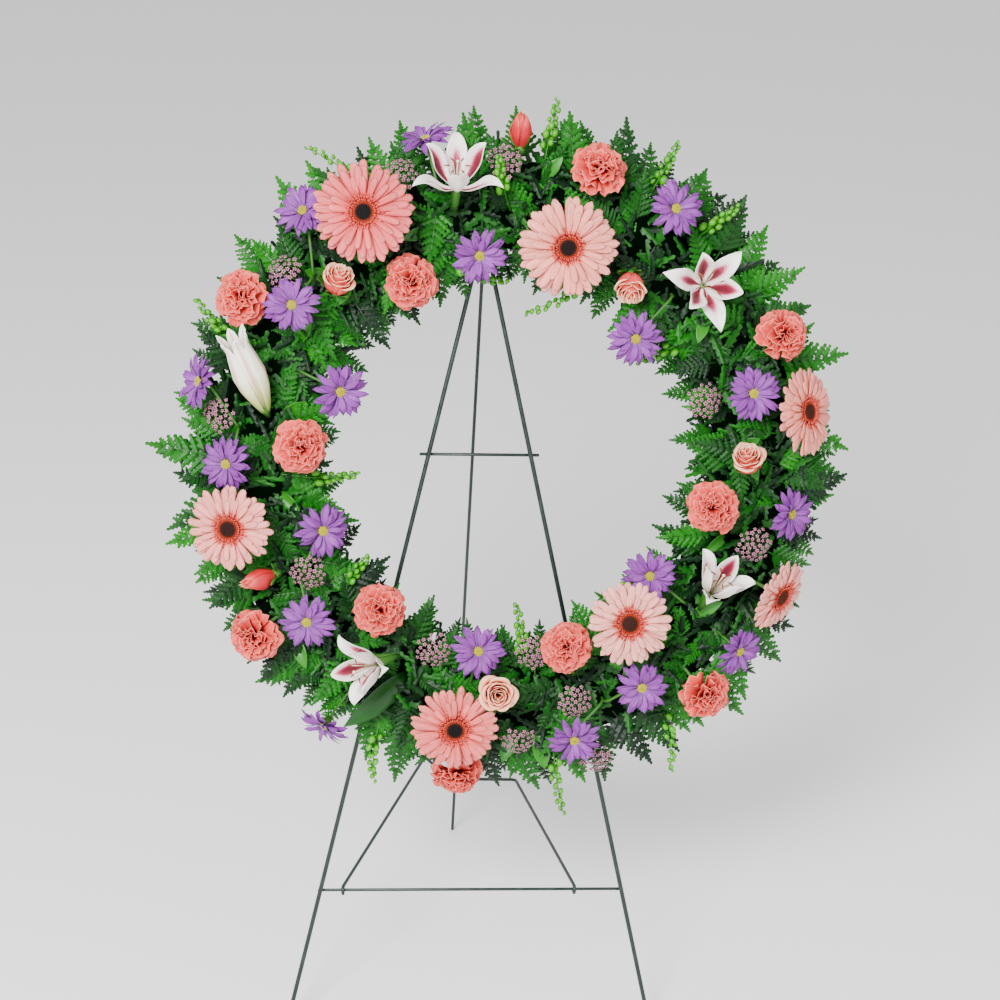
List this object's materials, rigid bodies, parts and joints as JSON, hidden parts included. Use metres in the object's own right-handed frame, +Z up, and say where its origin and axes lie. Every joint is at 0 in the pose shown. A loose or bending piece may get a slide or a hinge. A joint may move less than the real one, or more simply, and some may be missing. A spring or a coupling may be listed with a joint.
{
  "type": "funeral wreath",
  "caption": "Round funeral wreath of gerberas, daisies, carnations, roses and lilies in fern, tied to the front of a folding wire easel.",
  "frame": {"origin": "on the ground, under the middle of the bounding box", "axes": "+Z up, -Y towards the viewer the flowers face, +X to that viewer's right"},
  "size_m": [0.739, 0.4718, 1.0236],
  "materials": {
    "green_enamel": "gloss",
    "floral_foam": "matte",
    "tie_wire": "satin",
    "leaf": "satin",
    "lavender_petal": "matte",
    "salmon_petal": "matte",
    "lily_petal": "satin",
    "lily_bud_skin": "satin",
    "rose_petal": "matte",
    "gerbera_petal_1": "matte",
    "gerbera_petal_2": "matte",
    "gerbera_petal_3": "matte",
    "gerbera_petal_4": "matte",
    "gerbera_petal_5": "matte",
    "gerbera_petal_6": "matte",
    "gerbera_petal_7": "matte"
  },
  "bodies": {
    "easel_and_wreath": {"foam_ring": "floral_foam", "gerbera_1": "gerbera_petal_1", "gerbera_2": "gerbera_petal_2", "gerbera_3": "gerbera_petal_3", "gerbera_4": "gerbera_petal_4", "gerbera_5": "gerbera_petal_5", "gerbera_6": "gerbera_petal_6", "gerbera_7": "gerbera_petal_7", "daisy_spray_1": "lavender_petal", "daisy_spray_2": "lavender_petal", "daisy_spray_3": "lavender_petal", "daisy_spray_4": "lavender_petal", "daisy_spray_5": "lavender_petal", "daisy_spray_6": "lavender_petal", "daisy_spray_7": "lavender_petal", "daisy_spray_8": "lavender_petal", "daisy_spray_9": "lavender_petal", "daisy_spray_10": "lavender_petal", "daisy_spray_11": "lavender_petal", "daisy_spray_12": "lavender_petal", "daisy_spray_13": "lavender_petal", "daisy_spray_14": "lavender_petal", "daisy_spray_15": "lavender_petal", "carnation_1": "salmon_petal", "carnation_2": "salmon_petal", "carnation_3": "salmon_petal", "carnation_4": "salmon_petal", "carnation_5": "salmon_petal", "carnation_6": "salmon_petal", "carnation_7": "salmon_petal", "carnation_8": "salmon_petal", "carnation_9": "salmon_petal", "carnation_10": "salmon_petal", "carnation_11": "salmon_petal", "lily_1": "lily_petal", "lily_2": "lily_petal", "lily_3": "lily_petal", "lily_4": "lily_petal", "lily_bud": "lily_bud_skin", "rose_1": "rose_petal", "rosebud_2": "rose_petal", "rose_3": "rose_petal", "rose_4": "rose_petal", "rosebud_5": "rose_petal", "rose_6": "rose_petal", "foliage_1": "leaf", "foliage_2": "leaf", "foliage_3": "leaf", "foliage_4": "leaf", "foliage_5": "leaf", "foliage_6": "leaf", "tie_wire_1": "tie_wire", "tie_wire_2": "tie_wire", "tie_wire_3": "tie_wire", "front_frame": "green_enamel", "upper_crossbar": "green_enamel", "lower_crossbar": "green_enamel", "hinge_bar": "green_enamel"},
    "back_leg": {"back_leg": "green_enamel"},
    "brace": {"brace": "green_enamel"}
  },
  "joints": [
    {"name": "back_leg_fold", "type": "hinge", "parent": "easel_and_wreath", "child": "back_leg", "pos_m": [-0.03053, 0.00893, 0.84966], "axis": [1, 0, 0], "range_deg": [-25, 0]},
    {"name": "brace_fold", "type": "hinge", "parent": "easel_and_wreath", "child": "brace", "pos_m": [-0.03053, -0.14782, 0.15411], "axis": [1, 0, 0], "range_deg": [0, 78]}
  ],
  "couplings": [
    {"joint": "brace_fold", "follows": "back_leg_fold", "ratio": -3.1}
  ]
}
